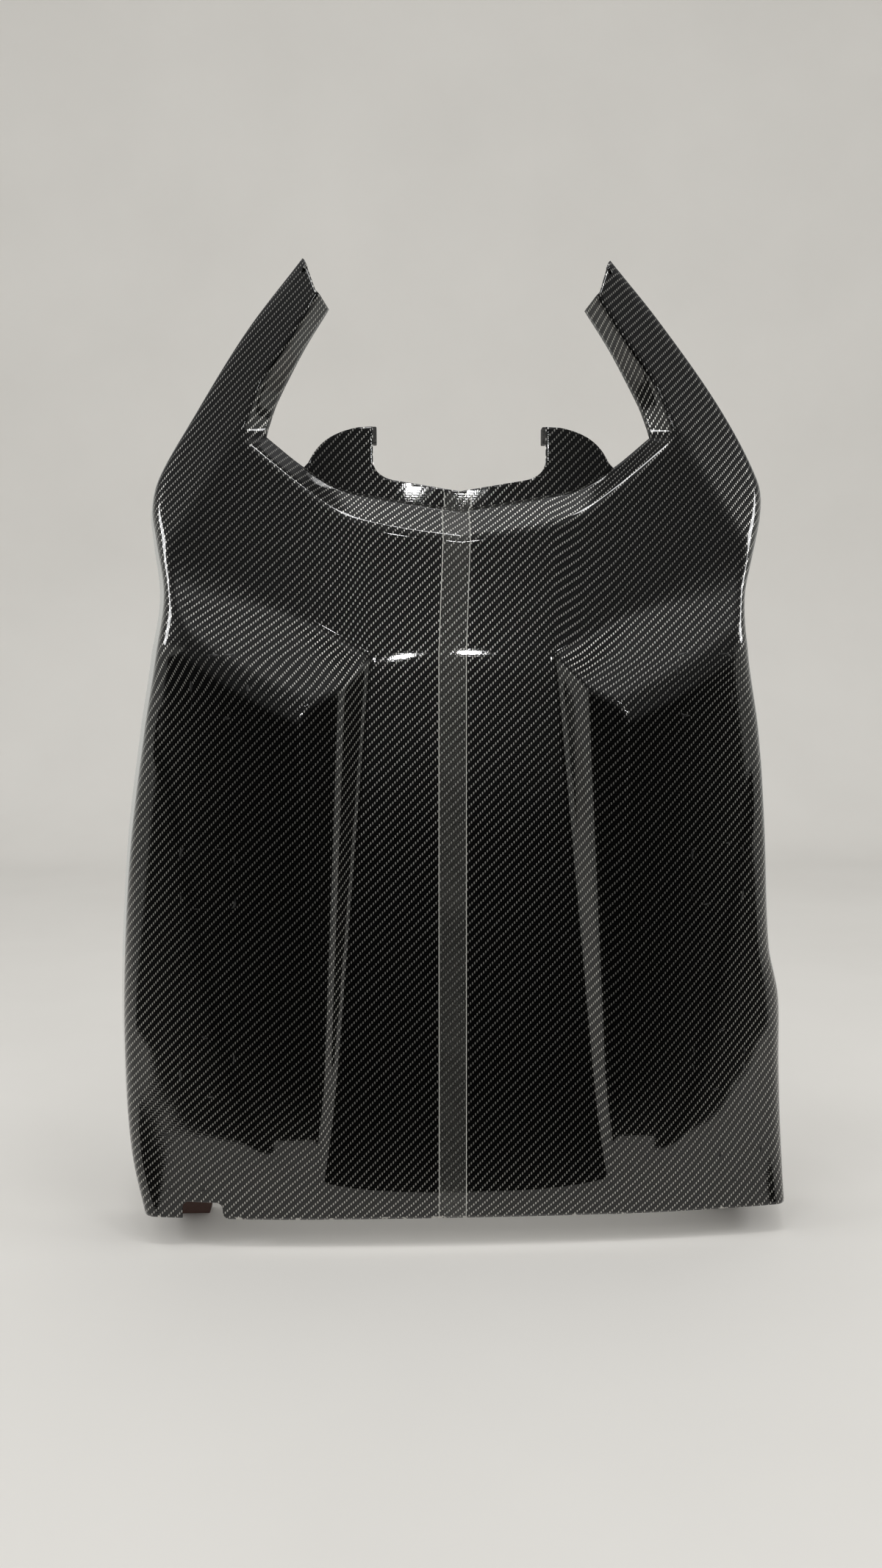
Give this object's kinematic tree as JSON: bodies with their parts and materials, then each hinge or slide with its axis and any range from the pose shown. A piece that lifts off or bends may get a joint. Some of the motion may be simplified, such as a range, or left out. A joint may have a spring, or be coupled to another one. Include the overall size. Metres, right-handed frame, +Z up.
{
  "type": "seat back shell",
  "caption": "Rear shell of a sports seat's backrest in glossy woven carbon, with horns, a U-shaped neck flange, belt openings, ridges, a knee recess, and fixings bonded inside.",
  "frame": {"origin": "on the floor plane under the feet, halfway between them in X, level with the front of the outer face in Y", "axes": "+X to the right when the outer face is looked at, +Y from the outer face towards the seat, +Z up from the lower edge to the horns"},
  "size_m": [0.6419, 0.1252, 0.9],
  "materials": {
    "carbon": "two-by-two twill carbon laminate under a glossy clear coat",
    "film": "clear self-adhesive protective film, slightly milky",
    "nylon": "moulded black nylon",
    "phenolic": "dark brown phenolic laminate, sawn and sanded",
    "steel": "zinc-plated spring steel",
    "felt": "dark self-adhesive felt"
  },
  "bodies": {
    "root": {"outer_shell": "carbon", "neck_flange": "carbon", "lower_doubler": "carbon", "protective_tape": "film", "clip_tower_left_1": "nylon", "clip_tower_left_2": "nylon", "clip_tower_left_3": "nylon", "clip_tower_right_1": "nylon", "clip_tower_right_2": "nylon", "clip_tower_right_3": "nylon", "horn_block_left": "nylon", "horn_block_right": "nylon", "spring_clip_left_1": "steel", "spring_clip_left_2": "steel", "spring_clip_left_3": "steel", "spring_clip_right_1": "steel", "spring_clip_right_2": "steel", "spring_clip_right_3": "steel", "captive_nut_left": "steel", "captive_nut_right": "steel", "lower_bracket_left": "phenolic", "lower_bracket_right": "phenolic", "edge_felt_left": "felt", "edge_felt_right": "felt", "hook_pad_left": "felt", "hook_pad_right": "felt"}
  },
  "joints": []
}
